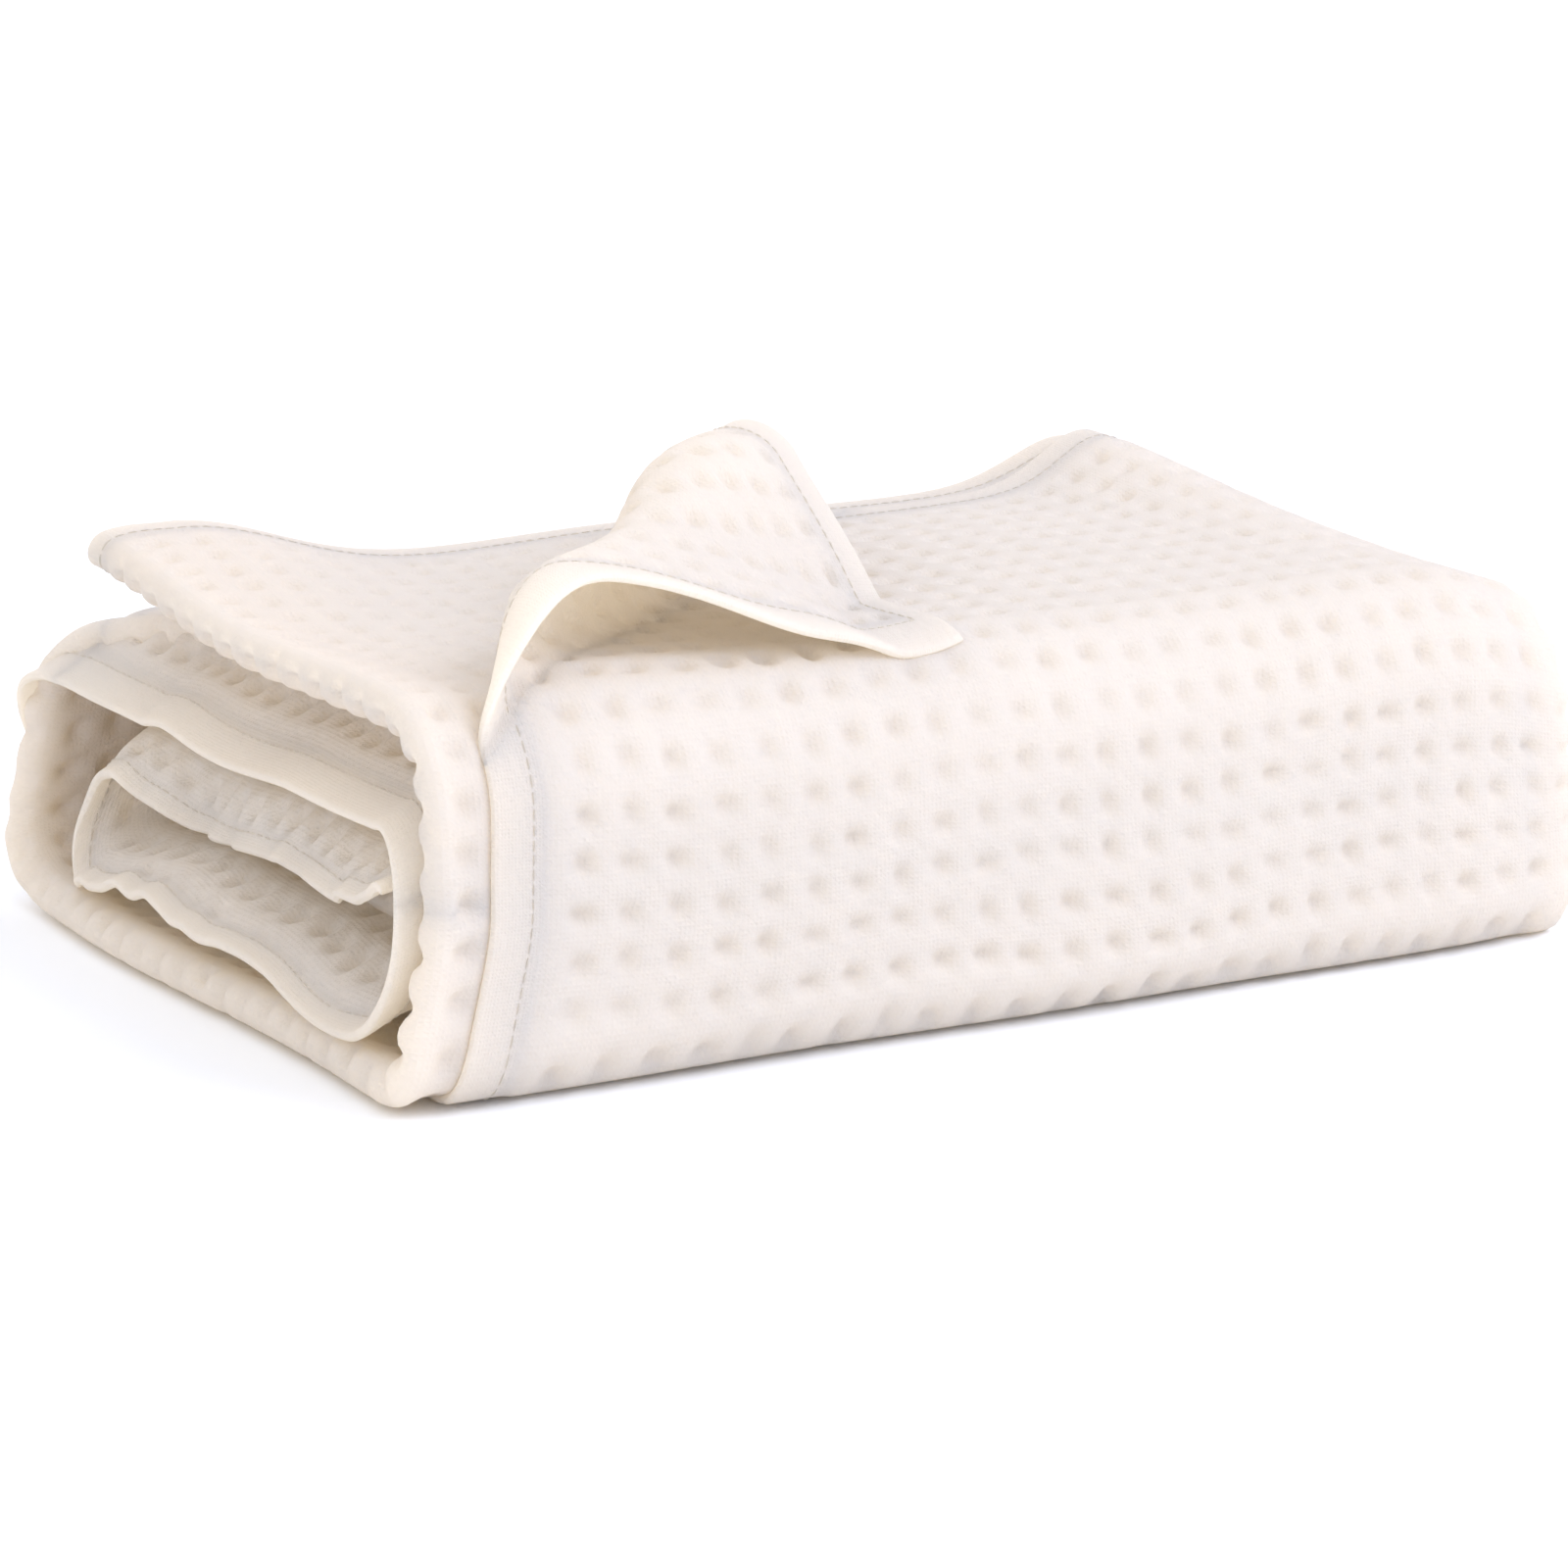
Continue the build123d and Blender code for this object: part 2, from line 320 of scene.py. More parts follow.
def edge_of_outer_ply(v):
    """X of the outer ply's side hem: inset on the wrap, at the very end in the roll."""
    in_roll = smooth(v, V_WALL - 20, V_SHOULDER + 10)
    ripple = 1.1 * np.sin(v / 29) + 0.8 * np.sin(v / 13 + 1)
    return HEM_INSET + (ROLL_EDGE - HEM_INSET) * in_roll + ripple * (0.5 + in_roll)


def edge_of_under_plies(v):
    """X of the fold between the two under plies."""
    in_roll = smooth(v, V_WALL + 10, V_SHOULDER + 60)
    return UNDER_EDGE + (UNDER_EDGE_ROLL - UNDER_EDGE) * in_roll + 1.2 * np.sin(v / 37 + 2)


def right_end(v):
    """X of the right end's folds."""
    return LENGTH - 1.5 - 2.0 * (0.5 + 0.5 * np.sin(v / 83)) - 1.0 * np.sin(v / 31)


# How the roll's free side margin hangs, at places along the cloth: its width, its angle in degrees,
# and how many times more the hem at its edge curls under.
DROOP_PLACES = [V_WALL, V_SHOULDER, V_SHOULDER + 60, V_ROLL_FRONT - 40, V_ROLL_FRONT + 20, V_ROLL_LOW + 30]
DROOP_PLACES += [V_ROLL_BACK - 30, V_ROLL_BACK + 20, V_ROLL_BACK + 70, V_END]
DROOP_WIDTHS = [20, 44, 56, 52, 40, 44, 44, 44, 50, 50]
DROOP_ANGLES = [0, 32, 42, 29, 20, 18, 17, 28, 44, 12]
DROOP_CURLS = [0, 0, 0, 0, 0.2, 0.8, 0.6, 0.3, 1.2, 1.6]


def droop_angle(u, v):
    """How steeply the roll's free side margin hangs."""
    width, most, curled = (np.interp(v, DROOP_PLACES, a) for a in (DROOP_WIDTHS, DROOP_ANGLES, DROOP_CURLS))
    in_roll = smooth(v, V_SHOULDER, V_SHOULDER + 80)
    waves = (3 * np.sin(v / 17) + 3 * np.sin(v / 29 + 1)) * in_roll
    ripple = (6 * np.sin(v / 4.8) + 3 * np.sin(v / 3.1 + 2)) * smooth(v, V_ROLL_LOW, V_ROLL_BACK)
    hanging = smooth(u, width, width - 16) * (1 + curled * smooth(u, 22, 7))
    return np.radians((most + waves) * hanging + ripple * smooth(u, 26, 6))


def outer_ply(u, v):
    """Middle of the outer ply, from its side hem to the right fold and on round it."""
    u, v = np.meshgrid(u, v, indexing="ij")
    edge, right = edge_of_outer_ply(v), right_end(v)
    radius, half_gap = FOLD_RADIUS, PLY_STEP / 2
    in_roll = smooth(v, V_WALL - 20, V_SHOULDER + 10)
    wider = 1 + (HEM_INSET - ROLL_EDGE) / FOLD_U * in_roll
    inward, height = fold_profile(right - edge - u * wider, radius, half_gap)
    angle = droop_angle(u, v)
    step = np.gradient(u, axis=0)
    below = np.cumsum((np.sin(angle) * step)[::-1], axis=0)[::-1]
    lost = np.cumsum(((1 - np.cos(angle)) * step)[::-1], axis=0)[::-1]
    skewed = v - SKEW * smooth(u, 270, FOLD_U) * smooth(v, OUTER_START + 190, OUTER_START)
    (b, z), (nb, nz) = on_route(skewed)
    out = PLY_STEP / 2 + height
    return np.stack([right - inward + lost, b + nb * out, z + nz * out - below], -1)


def under_plies(a, v):
    """Middle of the two under plies. a runs from their left fold, below 0 on the outer of the two."""
    a, v = np.meshgrid(a, v, indexing="ij")
    left, right = edge_of_under_plies(v), right_end(v)
    inward, height = fold_profile(-a, LEFT_FOLD_RADIUS, PLY_STEP / 2)
    room = right - RIGHT_HEM_INSET - left
    x = left + inward * room / (LENGTH - RIGHT_HEM_INSET)
    (b, z), (nb, nz) = on_route(v)
    out = -PLY_STEP / 2 + height
    return np.stack([x, b + nb * out, z + nz * out], -1)


# ---------------------------------------------------------------- the turned corner


def corner_coordinates(u, v):
    """Along and beyond the crease, for a point of the flat outer ply."""
    x, c = u + HEM_INSET, UNDER_END - v
    dx, dc = x - CREASE_START[0], c - CREASE_START[1]
    ca, sa = math.cos(CREASE_ANGLE), math.sin(CREASE_ANGLE)
    return dx * ca + dc * sa, dc * ca - dx * sa


def curl(along, beyond):
    """How far over the crease, and how high, a point of the turned corner is, and how far past the curl.

    The curl is tight at its foot on the front, highest about midway, and widest at the leaf's back edge.
    """
    radius = 9.0 + 6.0 * smooth(along, 0, 58) + 10.0 * smooth(along, 122, 240)
    wider = 1 + 0.15 * smooth(along, 90, 200)
    taller = 1 + 0.2 * np.exp(-(((along - 165) / 40) ** 2)) - 0.08 * smooth(along, 190, 240)
    drop = np.radians(5 + 15 * smooth(along, 45, 105) + 18 * smooth(along, 110, 170))
    turned = radius * (math.pi + drop)
    angle = np.minimum(beyond, turned) / radius
    rest = np.maximum(beyond - turned, 0)
    over = -radius * wider * np.sin(angle) + rest * np.cos(drop)
    high = radius * taller * (1 - np.cos(angle)) - rest * np.sin(drop)
    return over, high, rest


def leaf_height(b):
    """Height of the outer ply's middle on the top leaf, before it settles."""
    radius = OUTER_RADIUS + PLY_STEP
    in_bend = np.clip(radius + 2 - b, 0, radius - 1)
    return LEAF_TOP - HALF_PACK + PLY_STEP - (radius - np.sqrt(radius**2 - in_bend**2))


def turn_corner(p, u, v):
    """Moves the outer ply's points beyond the crease over it, in a curl that comes to rest on the leaf."""
    u, v = np.meshgrid(u, v, indexing="ij")
    along, beyond = corner_coordinates(u, v)
    ca, sa = math.cos(CREASE_ANGLE), math.sin(CREASE_ANGLE)
    foot_v = UNDER_END - (CREASE_START[1] + along * sa)
    (b, z), (nb, nz) = on_route(foot_v)
    over, high, rest = curl(along, np.maximum(beyond, 0))
    out = PLY_STEP + high
    x = edge_of_outer_ply(foot_v) + FOLD_RADIUS * (math.pi / 2 - 1) + along * ca + over * sa
    new_b = b + nb * out - over * ca * np.clip(nz, 0.2, 1)
    new_z = z + nz * out
    landed = soft_max(new_z, leaf_height(new_b) + REST_GAP)
    new_z = new_z + (landed - new_z) * smooth(rest, 0, 12)
    moved = np.stack([x, new_b, new_z], -1)
    return np.where((beyond > 0)[..., None] & (v < V_FRONT_LOW)[..., None], moved, p), beyond


# ---------------------------------------------------------------- meshes


def face_directions(p):
    """Outward directions of a grid of points."""
    n = np.cross(np.gradient(p, axis=1), np.gradient(p, axis=0))
    return n / np.maximum(np.linalg.norm(n, axis=-1, keepdims=True), 1e-9)


def quad_mesh(name, points, quads, directions=None, uvs=None):
    """An object of quads, with points in millimetres."""
    mesh = bpy.data.meshes.new(name)
    mesh.vertices.add(len(points))
    mesh.vertices.foreach_set("co", ((points + [LEFT, FRONT, 0]) * MM).astype(np.float32).ravel())
    mesh.loops.add(quads.size)
    mesh.loops.foreach_set("vertex_index", quads.astype(np.int32).ravel())
    mesh.polygons.add(len(quads))
    mesh.polygons.foreach_set("loop_start", np.arange(0, quads.size, 4, dtype=np.int32))
    mesh.polygons.foreach_set("use_smooth", np.ones(len(quads), bool))
    mesh.update(calc_edges=True)
    if uvs is not None:
        layer = mesh.uv_layers.new(name="weave")
        layer.data.foreach_set("uv", (uvs * MM)[quads.ravel()].astype(np.float32).ravel())
    if directions is not None:
        mesh.normals_split_custom_set_from_vertices(directions.astype(np.float32))
    piece = bpy.data.objects.new(name, mesh)
    bpy.context.scene.collection.objects.link(piece)
    return piece


def grid_mesh(name, faces, normals, uv, keep):
    """One closed piece of cloth from the two faces of a grid, over the squares that keep marks."""
    rows, cols = keep.shape[0] + 1, keep.shape[1] + 1
    index = np.arange(rows * cols).reshape(rows, cols)
    i, j = np.nonzero(keep)
    a, b, c, d = index[i, j], index[i + 1, j], index[i + 1, j + 1], index[i, j + 1]
    back = rows * cols
    quads = [np.stack([a, d, c, b], 1), np.stack([a, b, c, d], 1) + back]
    ringed = np.zeros((rows + 1, cols + 1), bool)
    ringed[1:-1, 1:-1] = keep
    for di, dj, p, q in ((-1, 0, d, a), (1, 0, b, c), (0, -1, a, b), (0, 1, c, d)):
        is_open = ~ringed[i + 1 + di, j + 1 + dj]
        p, q = p[is_open], q[is_open]
        quads.append(np.stack([p, q, q + back, p + back], 1))
    used, flat = np.unique(np.concatenate(quads), return_inverse=True)
    points = np.concatenate([f.reshape(-1, 3) for f in faces])[used]
    directions = np.concatenate([n.reshape(-1, 3) for n in normals])[used]
    uvs = np.concatenate([uv.reshape(-1, 2)] * 2)[used]
    return quad_mesh(name, points, flat.reshape(-1, 4), directions, uvs)


FLAT = {}  # each piece's flat width, length and area, in metres


class Cloth:
    """A grid of cloth with two woven faces, cut into pieces later."""

    def __init__(self, u, v, middle, hem_depth, relief, seed, from_pit):
        """hem_depth is the distance from the nearest free edge, and from_pit the place of a pit along u."""
        uu, vv = np.meshgrid(u, v, indexing="ij")
        self.u, self.v = u, v
        plain = smooth(hem_depth, HEM + 6, HEM + 1)
        wu = uu + CELL_U / 2 - from_pit + 1.5 * wander(uu, vv, seed)
        wv = vv + 1.5 * wander(vv + 90, uu - 40, seed + 3)
        self.uv = np.stack([wu, wv], -1)
        top, bottom = weave(wu, wv, plain, hem_depth, relief, seed)
        out = face_directions(middle)
        share = rounded_edge(hem_depth)
        self.faces = [middle + out * (height * share)[..., None] for height in (top, bottom)]
        self.normals = [face_directions(self.faces[0]), -face_directions(self.faces[1])]
        self.hem = self.squares(hem_depth) < HEM

    def squares(self, values):
        """The middle value of each grid square."""
        return (values[:-1, :-1] + values[1:, 1:]) / 2

    def piece(self, name, v_range, keep, u_range=(-1e9, 1e9)):
        """The part of the cloth between two V and two U, over the squares to keep, as an object."""
        mid_u, mid_v = (self.u[1:] + self.u[:-1]) / 2, (self.v[1:] + self.v[:-1]) / 2
        keep = keep & ((mid_u > u_range[0]) & (mid_u < u_range[1]))[:, None]
        keep = keep & ((mid_v > v_range[0]) & (mid_v < v_range[1]))[None, :]
        rows, cols = np.nonzero(keep.any(1))[0], np.nonzero(keep.any(0))[0]
        r, c = slice(rows[0], rows[-1] + 2), slice(cols[0], cols[-1] + 2)
        kept = keep[rows[0] : rows[-1] + 1, cols[0] : cols[-1] + 1]
        faces, normals = [f[r, c] for f in self.faces], [n[r, c] for n in self.normals]
        piece = grid_mesh(name, faces, normals, self.uv[r, c], kept)
        u, v = self.u[r], self.v[c]
        area = (np.outer(np.diff(u), np.diff(v)) * kept).sum()
        FLAT[name] = ((u[-1] - u[0]) * MM, (v[-1] - v[0]) * MM, area * MM * MM)
        return piece

    def at(self, u, v, face):
        """Points on one face, and the directions out of it."""
        fu = np.clip(np.interp(u, self.u, np.arange(len(self.u))), 0, len(self.u) - 1.001)
        fv = np.clip(np.interp(v, self.v, np.arange(len(self.v))), 0, len(self.v) - 1.001)
        i, j = fu.astype(int), fv.astype(int)
        s, t = (fu - i)[..., None], (fv - j)[..., None]
        found = []
        for grid in (self.faces[face], self.normals[face]):
            near = grid[i, j] * (1 - s) * (1 - t) + grid[i + 1, j] * s * (1 - t)
            found.append(near + grid[i, j + 1] * (1 - s) * t + grid[i + 1, j + 1] * s * t)
        return found


def unit(vectors):
    """The same directions with length 1."""
    return vectors / np.maximum(np.linalg.norm(vectors, axis=-1, keepdims=True), 1e-9)


def thread_quads():
    """The faces of one stitch: six-sided rings, closed at both ends."""
    k = np.arange(6)
    after = (k + 1) % 6
    wall = np.stack([k, k + 6, after + 6, after], -1)
    walls = wall + 6 * np.arange(STITCH_RINGS - 1)[:, None, None]
    cap = np.array([[0, 1, 2, 3], [0, 3, 4, 5]])
    return np.concatenate([walls.reshape(-1, 4), cap, cap[:, ::-1] + 6 * (STITCH_RINGS - 1)])


def stitches(name, runs):
    """Rows of stitches on the cloth. Each run is (cloth, face, start, end), with places as (U, V)."""
    share = np.linspace(0, 1, STITCH_RINGS)
    arch = np.sin(math.pi * share)[:, None]
    around = np.arange(6)[:, None] * math.pi / 3
    threads = []
    for cloth, face, start, end in runs:
        length = math.dist(start, end)
        way = (np.array(end) - start) / length
        first = np.arange(int(length / STITCH_PITCH)) * STITCH_PITCH
        place = np.array(start) + way * (first[:, None] + STITCH_LENGTH * share)[..., None]
        spot, out = cloth.at(place[..., 0], place[..., 1], face)
        out = unit(out)
        beside = np.cross(unit(np.gradient(spot, axis=1)), out)
        ring = beside[:, :, None] * np.cos(around) + out[:, :, None] * np.sin(around)
        thick = THREAD_RADIUS * (0.4 + 0.6 * np.sqrt(arch))
        threads.append((spot + out * (0.04 + 0.12 * arch))[:, :, None] + ring * thick[:, None])
    points = np.concatenate(threads).reshape(-1, 3)
    starts = np.arange(0, len(points), 6 * STITCH_RINGS)
    return quad_mesh(name, points, (thread_quads() + starts[:, None, None]).reshape(-1, 4))


def lines(*stretches):
    """Grid lines along one direction: each stretch is (from, to, spacing)."""
    parts = [np.linspace(a, b, max(2, round((b - a) / step) + 1)) for a, b, step in stretches]
    return np.unique(np.round(np.concatenate(parts), 4))


def edge_lines(at, inward):
    """Extra grid lines, close together, that round a free edge."""
    return at + inward * np.array([0, 0.25, 0.7, EDGE_ROUND])


WIDE = FOLD_U + JOIN  # the outer ply's width
OUTER_START = UNDER_END - OUTER_END  # V of the outer ply's end
FAR = LENGTH - RIGHT_HEM_INSET  # the under plies' width
MARGIN = 70.0  # how far the under plies can be seen into from either end
LEFT_BEND = 8.0  # how far their left fold reaches, each way


def hem_width(v):
    """The side hem's width, which is drawn narrower inside the roll."""
    return HEM * (1 - 0.5 * smooth(v, V_ROLL_FRONT, V_ROLL_LOW))


def leaf_share(u, v):
    """1 on the top leaf and 0 on the rest of the throw."""
    return np.ones((len(u), 1)) * smooth(v, V_FRONT_TOP, V_FRONT_TOP - 60)[None, :]


def fold_relief(distance):
    """The waffle's relief, which is pulled flatter where a ply is folded."""
    return 0.6 + 0.4 * smooth(np.abs(distance), 2, 14)


def make_outer_ply():
    """The outer ply of the wrap and of the roll's top, and which squares of it are the turned corner."""
    u = np.unique(np.concatenate([edge_lines(0, 1), lines((EDGE_ROUND, HEM, 2), (HEM, WIDE, FINE))]))
    along = lines((OUTER_START + EDGE_ROUND, V_ROLL_FRONT, FINE))
    v = np.unique(np.concatenate([edge_lines(OUTER_START, 1), along]))
    middle, beyond = turn_corner(outer_ply(u, v), u, v)
    middle = settle(middle, leaf_share(u, v))
    uu, vv = np.meshgrid(u, v, indexing="ij")
    relief = fold_relief(FOLD_U - uu) * (1.25 + 0.25 * smooth(vv, V_WALL, V_SHOULDER))
    cloth = Cloth(u, v, middle, np.minimum(uu, vv - OUTER_START), relief, 1, FIRST_PIT)
    turned = (cloth.squares(beyond) > 0) & (v[:-1] < V_FRONT_LOW)[None, :]
    return cloth, turned


def make_inner_ply():
    """The outer ply's run through the inside of the roll, fine only near its ends."""
    across = lines(
        (EDGE_ROUND, HEM, 2), (HEM, 90, MEDIUM), (90, WIDE - 60, COARSE), (WIDE - 60, WIDE, MEDIUM)
    )
    u = np.unique(np.concatenate([edge_lines(0, 1), across]))
    v = np.unique(np.concatenate([lines((V_ROLL_FRONT, V_END - EDGE_ROUND, MEDIUM)), edge_lines(V_END, -1)]))
    middle = settle(outer_ply(u, v), 0)
    uu, vv = np.meshgrid(u, v, indexing="ij")
    edge = np.minimum(uu * HEM / hem_width(vv), V_END - vv)
    return Cloth(u, v, middle, edge, 1.5 * fold_relief(FOLD_U - uu), 1, FIRST_PIT)


def make_under_plies(v0, v1, coarse):
    """The two under plies between two V. coarse is the spacing in their hidden middle."""
    fine = min(MEDIUM, coarse)
    seen, bent = MARGIN, LEFT_BEND
    met = JOIN - 8 - FAR  # where the upper ply meets the outer ply's run round the right fold
    upper = lines(
        (met, seen - FAR, fine), (seen - FAR, -seen, coarse), (-seen, -bent, fine), (-bent, 0, 1.2)
    )
    lower = lines(
        (0, bent, 1.2), (bent, seen, fine), (seen, FAR - seen, coarse), (FAR - seen, FAR - EDGE_ROUND, fine)
    )
    a = np.unique(np.concatenate([upper, lower, edge_lines(FAR, -1)]))
    v = lines((v0, v1, fine))
    if v0 == 0:
        v = np.unique(np.concatenate([v, edge_lines(0, 1)]))
    if v1 == V_END:
        v = np.unique(np.concatenate([v, edge_lines(V_END, -1)]))
    middle = settle(under_plies(a, v), leaf_share(a, v))
    aa, vv = np.meshgrid(a, v, indexing="ij")
    edge = np.minimum(FAR - aa, np.minimum(vv, V_END - vv))
    return Cloth(a, v, middle, edge, 1.3, 2, UNDER_PIT)


# ---------------------------------------------------------------- materials


def node(tree, kind, **inputs):
    """A shader node with values or links set on its inputs."""
    made = tree.nodes.new(kind)
    for key, value in inputs.items():
        socket = made.inputs[key.replace("_", " ")]
        if isinstance(value, bpy.types.NodeSocket):
            tree.links.new(value, socket)
        else:
            socket.default_value = value
    return made


def math_node(tree, operation, a, b=0.0):
    """The result of one Math node."""
    made = tree.nodes.new("ShaderNodeMath")
    made.operation = operation
    for socket, value in zip(made.inputs, (a, b)):
        if isinstance(value, bpy.types.NodeSocket):
            tree.links.new(value, socket)
        else:
            socket.default_value = value
    return made.outputs[0]


LIGHT_THROUGH = (1.0, 0.91, 0.75)  # colour of the light that passes through the cloth
SHARE_THROUGH = 0.55


def crossing_yarns(tree, place, yarn):
    """Height of a plain weave of round yarns."""
    split = node(tree, "ShaderNodeSeparateXYZ", Vector=place)
    waves = [math_node(tree, "MULTIPLY", split.outputs[k], 2 * math.pi / yarn) for k in (0, 1)]
    return math_node(tree, "MAXIMUM", *[math_node(tree, "SINE", wave) for wave in waves])


def fabric(name, colour, yarn, woven):
    """Spun cotton: a soft nap over crossing yarns, light passing through, a slightly uneven colour."""
    material = bpy.data.materials.new(name)
    material.use_nodes = True
    tree = material.node_tree
    tree.nodes.clear()
    if woven:
        place = tree.nodes.new("ShaderNodeUVMap")
        place.uv_map = "weave"
    else:
        place = tree.nodes.new("ShaderNodeTexCoord")
    spot = place.outputs[0]
    nap = node(tree, "ShaderNodeTexNoise", Vector=spot, Scale=330.0, Detail=5.0, Roughness=0.62)
    height = nap.outputs[0]
    if woven:
        yarns = crossing_yarns(tree, spot, yarn)
        height = math_node(tree, "ADD", math_node(tree, "MULTIPLY", yarns, 0.08), height)
    bump = node(tree, "ShaderNodeBump", Height=height, Strength=0.7, Distance=0.0011)
    tone = node(tree, "ShaderNodeTexNoise", Vector=spot, Scale=22.0, Detail=3.0)
    mix = tree.nodes.new("ShaderNodeMix")
    mix.data_type = "RGBA"
    tree.links.new(tone.outputs[0], mix.inputs[0])
    mix.inputs[6].default_value = (*[c * 0.975 for c in colour], 1)
    mix.inputs[7].default_value = (*[min(c * 1.02, 1) for c in colour], 1)
    shader = node(tree, "ShaderNodeBsdfPrincipled", Base_Color=mix.outputs[2], Normal=bump.outputs[0])
    constants = {
        "Roughness": 0.92,
        "Specular IOR Level": 0.15,
        "Sheen Weight": 0.1,
        "Sheen Roughness": 0.6,
    }
    for key, value in constants.items():
        shader.inputs[key].default_value = value
    through = node(tree, "ShaderNodeBsdfTranslucent", Color=(*LIGHT_THROUGH, 1), Normal=bump.outputs[0])
    both = node(tree, "ShaderNodeMixShader", Fac=SHARE_THROUGH)
    tree.links.new(shader.outputs[0], both.inputs[1])
    tree.links.new(through.outputs[0], both.inputs[2])
    out = tree.nodes.new("ShaderNodeOutputMaterial")
    tree.links.new(both.outputs[0], out.inputs[0])
    return material


WAFFLE = fabric("waffle_cotton", (0.955, 0.935, 0.93), 0.0015, True)
PLAIN_HEM = fabric("plain_hem_cotton", (0.955, 0.935, 0.925), 0.0011, True)
THREAD = fabric("sewing_thread", (0.955, 0.935, 0.92), 0.001, False)


# ---------------------------------------------------------------- the pieces


def pick(*starts):
    """The CAD nodes whose names begin with one of these."""
    return sorted(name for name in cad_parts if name.startswith(starts))


def stay(piece):
    """The piece keeps still with the folded stack."""
    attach(piece, "folded_stack")


def bend_with_leaf(piece):
    """Bakes the piece's place into its mesh. The piece is meant to bend over the front's upper fold as the
    top leaf opens, but nothing here bends it.
    """
    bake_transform(piece)


def turn_with_corner(piece):
    """Bakes the piece's place into its mesh. The piece is meant to unroll from the leaf over its crease as
    the corner is turned back, but nothing here turns it.
    """
    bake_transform(piece)


def finish_cloth(piece, move, replaced):
    """Material, slot and motion of one piece of cloth. Its flat width, length and area are worked out but
    not kept.
    """
    is_hem = piece.name.endswith("_hem")
    piece.data.materials.append(PLAIN_HEM if is_hem else WAFFLE)
    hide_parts(*replaced)
    width, length, area = FLAT[piece.name]
    if is_hem:
        width, length = HEM * MM, area / (HEM * MM)
    move(piece)


def finish_stitches(piece, move, replaced=()):
    """Material, slot and motion of one row of stitches."""
    piece.data.materials.append(THREAD)
    if replaced:
        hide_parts(*replaced)
    move(piece)


# Each part of the cloth: what it rests on, how it moves, the CAD nodes of its waffle and of its hem.
PARTS = {
    "outer_ply_leaf_and_front": (
        "under_plies_leaf_upper", bend_with_leaf,
        ("leaf_outer_ply", "front_outer"), ("leaf_outer_end", "front_side"),
    ),
    "turned_corner_cloth": ("outer_ply_leaf_and_front", turn_with_corner, ("corner_",), ()),
    "outer_ply_bottom": (
        "under_plies_wrap", stay, ("bottom_outer", "front_lower_outer", "back_lower_outer"),
        ("bottom_side", "front_lower_fold", "back_lower_fold"),
    ),
    "outer_ply_back": (
        "under_plies_wrap", stay, ("back_outer", "back_upper_outer"), ("back_side", "back_upper_fold"),
    ),
    "outer_ply_roll_top": ("under_plies_roll", stay, (), ("roll_top_hem", "roll_upper_fold_hem")),
    "outer_ply_roll_inside": (
        "under_plies_roll", stay, (),
        ("roll_front_hem", "roll_lower_fold_hem", "roll_bottom_hem", "roll_back_fold_hem", "roll_core_hem"),
    ),
    "under_plies_leaf_upper": ("under_plies_leaf_lower", bend_with_leaf, ("leaf_under_plies",), ()),
    "under_plies_leaf_lower": (
        "outer_ply_roll_top", bend_with_leaf, ("front_upper_fold",), ("leaf_under_end",),
    ),
    "under_plies_wrap": (
        "outer_ply_bottom", stay,
        ("front_under", "front_lower_under", "bottom_under", "back_lower_under", "back_under",
         "back_upper_under"), (),
    ),
    "under_plies_roll": (
        "under_plies_wrap", stay,
        ("roll_top_pass", "roll_upper_fold", "roll_front_pass", "roll_lower_fold", "roll_bottom_pass",
         "roll_back_fold", "roll_core_pass"),
        ("core_end_hem",),
    ),
}


def cut_cloth(cloth, name, v_range, keep=True, u_range=(-1e9, 1e9)):
    """One part of a cloth, as a piece of waffle and a piece of hem."""
    return [
        cloth.piece(name, v_range, ~cloth.hem & keep, u_range),
        cloth.piece(name + "_hem", v_range, cloth.hem & keep, u_range),
    ]


def make_stitches(outer, inner, under):
    """The rows of stitches along the hems."""
    slope = math.tan(CREASE_ANGLE)
    crease_v = UNDER_END - CREASE_START[1] - STITCH_LINE * slope
    end_v = OUTER_START + STITCH_LINE
    crease_u = (OUTER_END - STITCH_LINE - CREASE_START[1]) / slope
    right = FOLD_U
    front, leaf, corner, roll = [], [], [], []
    for face in (0, 1):
        front.append((outer, face, (STITCH_LINE, crease_v + 2), (STITCH_LINE, V_FRONT_LOW)))
        leaf.append((outer, face, (crease_u + 2, end_v), (right, end_v)))
        leaf.append((under, face, (-right, STITCH_LINE), (right - 20, STITCH_LINE)))
        corner.append((outer, face, (STITCH_LINE, end_v), (STITCH_LINE, crease_v - 2)))
        corner.append((outer, face, (STITCH_LINE, end_v), (crease_u - 2, end_v)))
        roll.append((outer, face, (STITCH_LINE, V_FRONT_LOW), (STITCH_LINE, V_ROLL_FRONT)))
        roll.append((inner, face, (STITCH_LINE, V_ROLL_FRONT), (STITCH_LINE / 2, V_ROLL_LOW)))
        roll.append((inner, face, (STITCH_LINE / 2, V_ROLL_LOW), (STITCH_LINE / 2, V_END - STITCH_LINE)))
    finish_stitches(stitches("front_hem_stitches", front), bend_with_leaf, ["front_hem_thread"])
    finish_stitches(stitches("leaf_hem_stitches", leaf), bend_with_leaf, ["leaf_hem_thread"])
    finish_stitches(stitches("corner_hem_stitches", corner), turn_with_corner)
    finish_stitches(stitches("roll_hem_stitches", roll), stay, ["roll_hem_thread"])


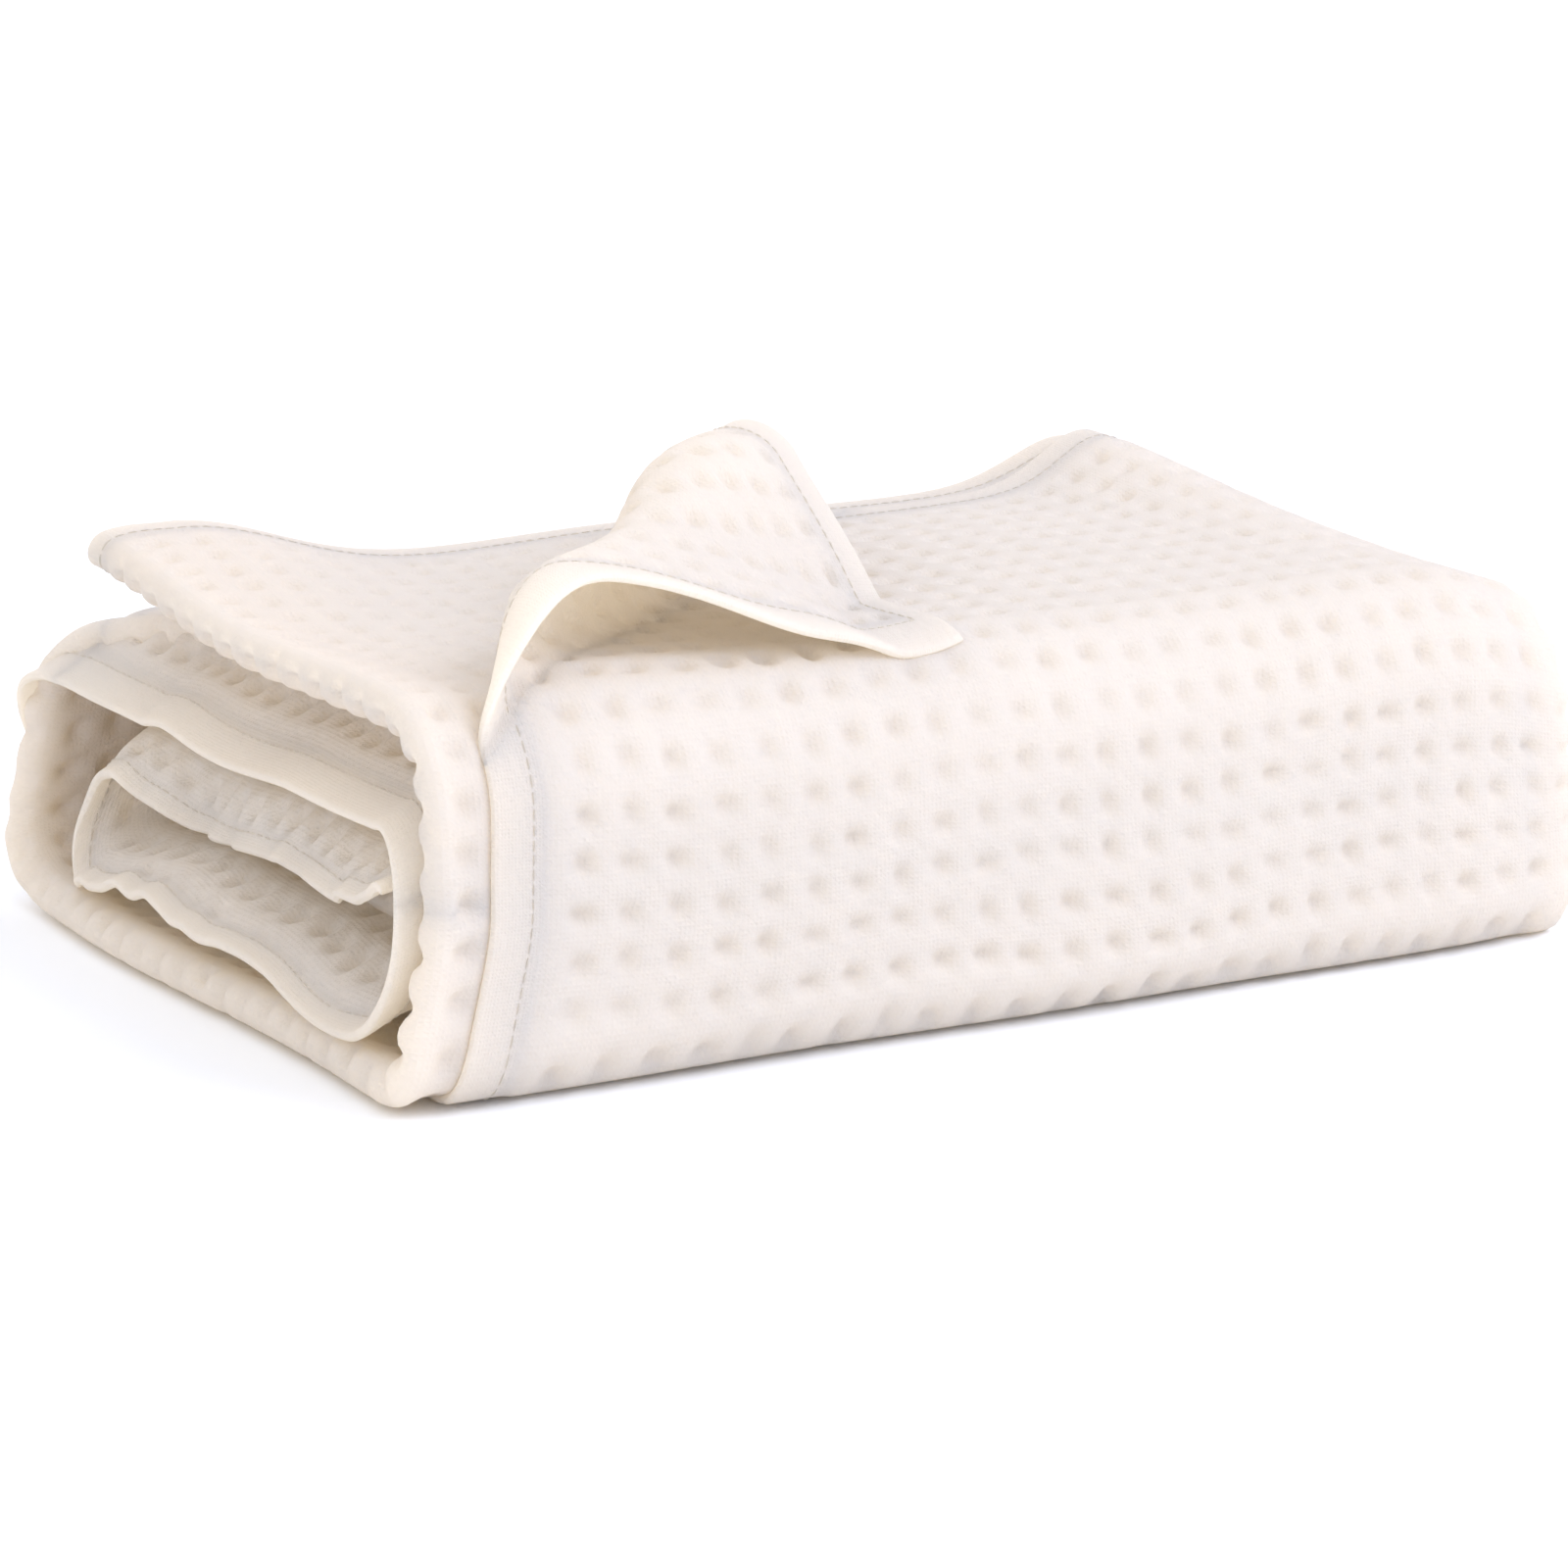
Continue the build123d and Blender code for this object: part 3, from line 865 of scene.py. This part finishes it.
def build():
    """Cuts the throw's cloth into its pieces and gives each its facts."""
    outer, turned = make_outer_ply()
    inner = make_inner_ply()
    under = make_under_plies(0, V_LEAF_BLEND, FINE)
    pieces = cut_cloth(outer, "outer_ply_leaf_and_front", (OUTER_START - 1, V_FRONT_LOW), ~turned)
    pieces += cut_cloth(outer, "turned_corner_cloth", (OUTER_START - 1, V_FRONT_LOW), turned)
    pieces += cut_cloth(outer, "outer_ply_bottom", (V_FRONT_LOW, V_WALL))
    pieces += cut_cloth(outer, "outer_ply_back", (V_WALL, V_SHOULDER))
    pieces += cut_cloth(outer, "outer_ply_roll_top", (V_SHOULDER, V_ROLL_FRONT))
    pieces += cut_cloth(inner, "outer_ply_roll_inside", (V_ROLL_FRONT, V_END + 1))
    pieces += cut_cloth(under, "under_plies_leaf_upper", (-1, V_LEAF_BLEND), u_range=(-1e9, 0))
    pieces += cut_cloth(under, "under_plies_leaf_lower", (-1, V_LEAF_BLEND), u_range=(0, 1e9))
    wrap = make_under_plies(V_LEAF_BLEND, V_SHOULDER, COARSE)
    pieces += cut_cloth(wrap, "under_plies_wrap", (0, V_SHOULDER))
    roll = make_under_plies(V_SHOULDER, V_END, COARSE)
    pieces += cut_cloth(roll, "under_plies_roll", (0, V_END + 1))
    for piece in pieces:
        is_hem = piece.name.endswith("_hem")
        rests_on, move, of_waffle, of_hem = PARTS[piece.name.removesuffix("_hem")]
        replaced = pick(*(of_hem if is_hem else of_waffle))
        finish_cloth(piece, move, [n for n in replaced if is_hem or not n.endswith("hem")])
    make_stitches(outer, inner, under)


build()


# ---------------------------------------------------------------- floor, light and camera


FLOOR_HALF = 3.0
CAMERA_AZIMUTH, CAMERA_ELEVATION = math.radians(-30.1), math.radians(14.5)
CAMERA_DISTANCE = 4 * LENGTH * MM
CAMERA_AIM = (-0.002, 0, 0.0457)
CAMERA_LENS, CAMERA_SENSOR = 114.0, 36.0


def make_floor():
    """A plain white floor."""
    mesh = bpy.data.meshes.new("floor")
    corners = [(-FLOOR_HALF, -FLOOR_HALF, 0), (FLOOR_HALF, -FLOOR_HALF, 0)]
    corners += [(FLOOR_HALF, FLOOR_HALF, 0), (-FLOOR_HALF, FLOOR_HALF, 0)]
    mesh.from_pydata(corners, [], [(0, 1, 2, 3)])
    floor = bpy.data.objects.new("floor", mesh)
    bpy.context.scene.collection.objects.link(floor)
    material = bpy.data.materials.new("pale_floor")
    material.use_nodes = True
    shader = material.node_tree.nodes["Principled BSDF"]
    shader.inputs["Base Color"].default_value = (1.0, 1.0, 1.0, 1)
    shader.inputs["Roughness"].default_value = 0.8
    shader.inputs["Specular IOR Level"].default_value = 0.1
    mesh.materials.append(material)


def area_light(name, place, target, size, power, colour):
    """A round lamp that faces its target."""
    light = bpy.data.lights.new(name, "AREA")
    light.shape = "DISK"
    light.size = size
    light.energy = power
    light.color = colour
    lamp = bpy.data.objects.new(name, light)
    lamp.location = place
    lamp.rotation_euler = (Vector(target) - Vector(place)).to_track_quat("-Z", "Y").to_euler()
    bpy.context.scene.collection.objects.link(lamp)


SURROUND_LEFT, SURROUND_RIGHT = (1.06, 1.04, 1.01, 1), (0.93, 0.995, 1.16, 1)
SURROUND_STRENGTH = 1.19


def make_lights():
    """A bright soft surround, warmer on the throw's left, and a wide lamp above its right front."""
    world = bpy.data.worlds.new("studio")
    world.use_nodes = True
    tree = world.node_tree
    place = tree.nodes.new("ShaderNodeTexCoord")
    split = node(tree, "ShaderNodeSeparateXYZ", Vector=place.outputs[0])
    side = node(tree, "ShaderNodeMapRange", Value=split.outputs[0], From_Min=-0.95, From_Max=0.25)
    mix = tree.nodes.new("ShaderNodeMix")
    mix.data_type = "RGBA"
    tree.links.new(side.outputs[0], mix.inputs[0])
    mix.inputs[6].default_value = SURROUND_LEFT
    mix.inputs[7].default_value = SURROUND_RIGHT
    background = tree.nodes["Background"]
    tree.links.new(mix.outputs[2], background.inputs[0])
    background.inputs[1].default_value = SURROUND_STRENGTH
    bpy.context.scene.world = world
    area_light("key", (1.1, -1.5, 1.9), (0, 0, 0.05), 1.4, 25, (0.93, 0.97, 1.12))
    bpy.context.scene.view_settings.view_transform = "Standard"


def make_camera():
    """A long lens, from the throw's left front and a little above it."""
    level = math.cos(CAMERA_ELEVATION)
    back = Vector(
        (math.sin(CAMERA_AZIMUTH) * level, -math.cos(CAMERA_AZIMUTH) * level, math.sin(CAMERA_ELEVATION))
    )
    camera_data = bpy.data.cameras.new("camera")
    camera_data.lens = CAMERA_LENS
    camera_data.sensor_width = CAMERA_SENSOR
    camera = bpy.data.objects.new("camera", camera_data)
    camera.location = back * CAMERA_DISTANCE
    camera.rotation_euler = (Vector(CAMERA_AIM) - camera.location).to_track_quat("-Z", "Y").to_euler()
    camera_data.clip_start, camera_data.clip_end = 0.05, 30
    bpy.context.scene.collection.objects.link(camera)
    bpy.context.scene.camera = camera


make_floor()
make_lights()
make_camera()
